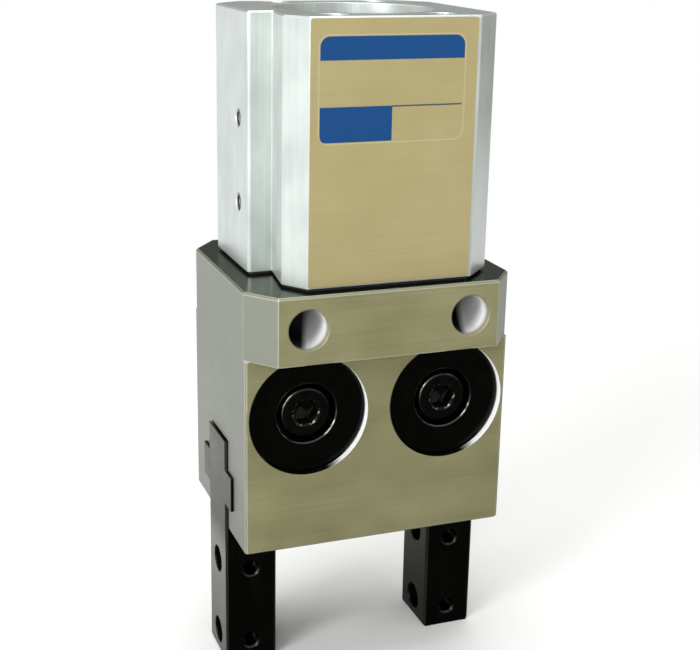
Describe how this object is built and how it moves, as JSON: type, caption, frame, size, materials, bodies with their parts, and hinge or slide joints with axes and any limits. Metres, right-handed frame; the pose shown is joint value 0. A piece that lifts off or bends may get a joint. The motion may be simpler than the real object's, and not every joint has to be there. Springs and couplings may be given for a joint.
{
  "type": "pneumatic gripper",
  "caption": "Pneumatic parallel gripper: a flanged block body with sliding jaws below, round gear covers in front and a piston cylinder on top.",
  "frame": {"origin": "on the centre line between the jaws, at the height of the finger ends", "axes": "+Z from the finger ends up to the cylinder, +X to the right along the jaw travel, the front with the gear covers looks along -Y"},
  "size_m": [0.0716, 0.0606, 0.1717],
  "materials": {
    "body_alloy": "hard anodised, satin",
    "tube_alloy": "clear anodised, satin",
    "plate": "printed foil plate, satin",
    "jaw_steel": "black oxide, ground",
    "black_cap": "gloss black",
    "black_steel": "black oxide",
    "steel": "ground",
    "spring_steel": "phosphated",
    "bronze": "turned",
    "rubber": "matt",
    "magnet": "plastic bonded, matt"
  },
  "bodies": {
    "housing": {"gripper_body": "body_alloy", "cylinder_tube": "tube_alloy", "body_gasket": "rubber", "name_plate": "plate", "rod_cover": "tube_alloy", "cover_o_ring": "rubber", "rod_seal": "rubber", "rod_bush": "bronze", "lower_bumper": "rubber", "upper_bumper": "rubber", "end_cap": "tube_alloy", "end_cap_o_ring": "rubber", "retaining_ring": "spring_steel", "tube_screws": "black_steel", "left_pinion_shaft": "steel", "right_pinion_shaft": "steel", "left_thrust_washers": "bronze", "right_thrust_washers": "bronze", "left_pinion_cap": "black_cap", "right_pinion_cap": "black_cap", "left_cap_screw": "black_steel", "right_cap_screw": "black_steel"},
    "piston_group": {"piston_rod": "steel", "piston": "tube_alloy", "piston_seal": "rubber", "piston_magnet": "magnet", "piston_screw": "black_steel"},
    "left_pinion_group": {"left_pinion": "steel", "left_pinion_bush": "bronze"},
    "right_pinion_group": {"right_pinion": "steel", "right_pinion_bush": "bronze"},
    "left_jaw_group": {"left_jaw": "jaw_steel"},
    "right_jaw_group": {"right_jaw": "jaw_steel"}
  },
  "joints": [
    {"name": "piston_slide", "type": "slide", "parent": "housing", "child": "piston_group", "axis": [0, 0, 1], "range_m": [0, 0.012]},
    {"name": "left_jaw_slide", "type": "slide", "parent": "housing", "child": "left_jaw_group", "axis": [1, 0, 0], "range_m": [0, 0.012]},
    {"name": "right_jaw_slide", "type": "slide", "parent": "housing", "child": "right_jaw_group", "axis": [-1, 0, 0], "range_m": [0, 0.012]},
    {"name": "left_pinion_spin", "type": "hinge", "parent": "housing", "child": "left_pinion_group", "pos_m": [-0.0185, 0, 0.0748], "axis": [0, 1, 0], "range_deg": [-57.3, 0]},
    {"name": "right_pinion_spin", "type": "hinge", "parent": "housing", "child": "right_pinion_group", "pos_m": [0.0185, 0, 0.0748], "axis": [0, 1, 0], "range_deg": [0, 57.3]}
  ],
  "couplings": [
    {"joint": "left_jaw_slide", "follows": "piston_slide", "ratio": 1},
    {"joint": "right_jaw_slide", "follows": "piston_slide", "ratio": 1},
    {"joint": "left_pinion_spin", "follows": "piston_slide", "rad_per_m": -83.333},
    {"joint": "right_pinion_spin", "follows": "piston_slide", "rad_per_m": 83.333}
  ]
}
